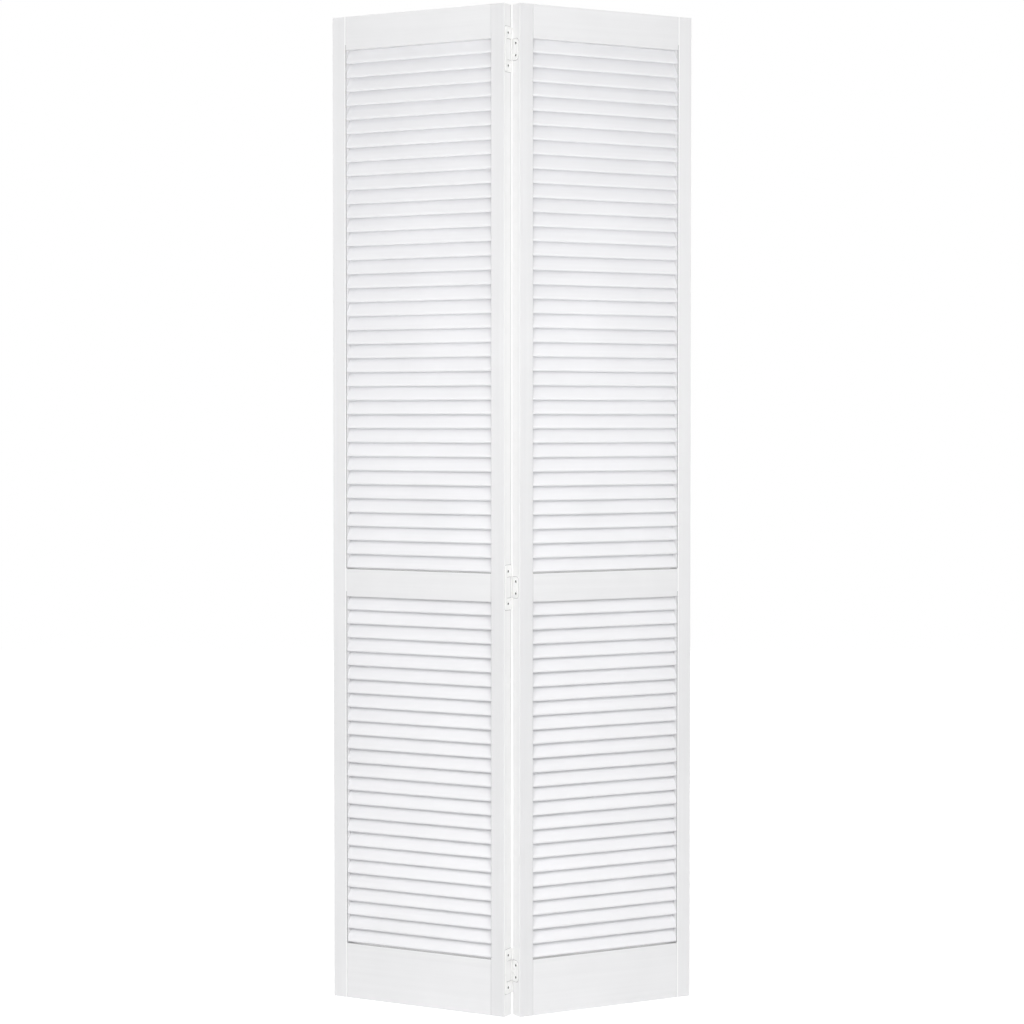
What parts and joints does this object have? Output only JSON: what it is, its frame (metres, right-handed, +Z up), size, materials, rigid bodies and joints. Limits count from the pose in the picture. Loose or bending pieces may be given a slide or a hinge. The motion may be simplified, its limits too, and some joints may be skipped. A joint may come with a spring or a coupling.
{
  "type": "bifold closet door",
  "caption": "Pair of white louvred timber leaves joined by non-mortise hinges, folding at the middle, with bored stile ends for the pivots and the track guide.",
  "frame": {"origin": "middle of the bottom of the bounding box, with the door partly folded as at rest", "axes": "+Z up; -Y towards the room, where the hinged edges point; +X from the pivot leaf to the lead leaf"},
  "size_m": [0.7322, 0.216, 2.0066],
  "materials": {
    "frame_paint": "satin white paint on timber stiles and rails",
    "slat_paint": "satin white paint on timber slats",
    "dowel_beech": "plain beech, unpainted",
    "hinge_enamel": "white stoved enamel on steel sheet",
    "screw_steel": "white enamelled steel",
    "hinge_pin_steel": "zinc-plated steel"
  },
  "bodies": {
    "pivot_leaf": {"bottom_hinge_outer_leaf": "hinge_enamel", "bottom_hinge_outer_screws": "screw_steel", "bottom_hinge_pin": "hinge_pin_steel", "middle_hinge_outer_leaf": "hinge_enamel", "middle_hinge_outer_screws": "screw_steel", "middle_hinge_pin": "hinge_pin_steel", "pivot_bottom_rail": "frame_paint", "pivot_bottom_rail_dowels": "dowel_beech", "pivot_hinge_stile": "frame_paint", "pivot_lock_rail": "frame_paint", "pivot_lock_rail_dowels": "dowel_beech", "pivot_lower_slats": "slat_paint", "pivot_outer_stile": "frame_paint", "pivot_top_rail": "frame_paint", "pivot_top_rail_dowels": "dowel_beech", "pivot_upper_slats": "slat_paint", "top_hinge_outer_leaf": "hinge_enamel", "top_hinge_outer_screws": "screw_steel", "top_hinge_pin": "hinge_pin_steel"},
    "lead_leaf": {"bottom_hinge_inner_leaf": "hinge_enamel", "bottom_hinge_inner_screws": "screw_steel", "lead_bottom_rail": "frame_paint", "lead_bottom_rail_dowels": "dowel_beech", "lead_hinge_stile": "frame_paint", "lead_lock_rail": "frame_paint", "lead_lock_rail_dowels": "dowel_beech", "lead_lower_slats": "slat_paint", "lead_outer_stile": "frame_paint", "lead_top_rail": "frame_paint", "lead_top_rail_dowels": "dowel_beech", "lead_upper_slats": "slat_paint", "middle_hinge_inner_leaf": "hinge_enamel", "middle_hinge_inner_screws": "screw_steel", "top_hinge_inner_leaf": "hinge_enamel", "top_hinge_inner_screws": "screw_steel"}
  },
  "joints": [
    {"name": "leaf_fold", "type": "hinge", "parent": "pivot_leaf", "child": "lead_leaf", "pos_m": [0, -0.08193, 1.0033], "axis": [0, 0, 1], "range_deg": [-57.26, 122.74]}
  ]
}
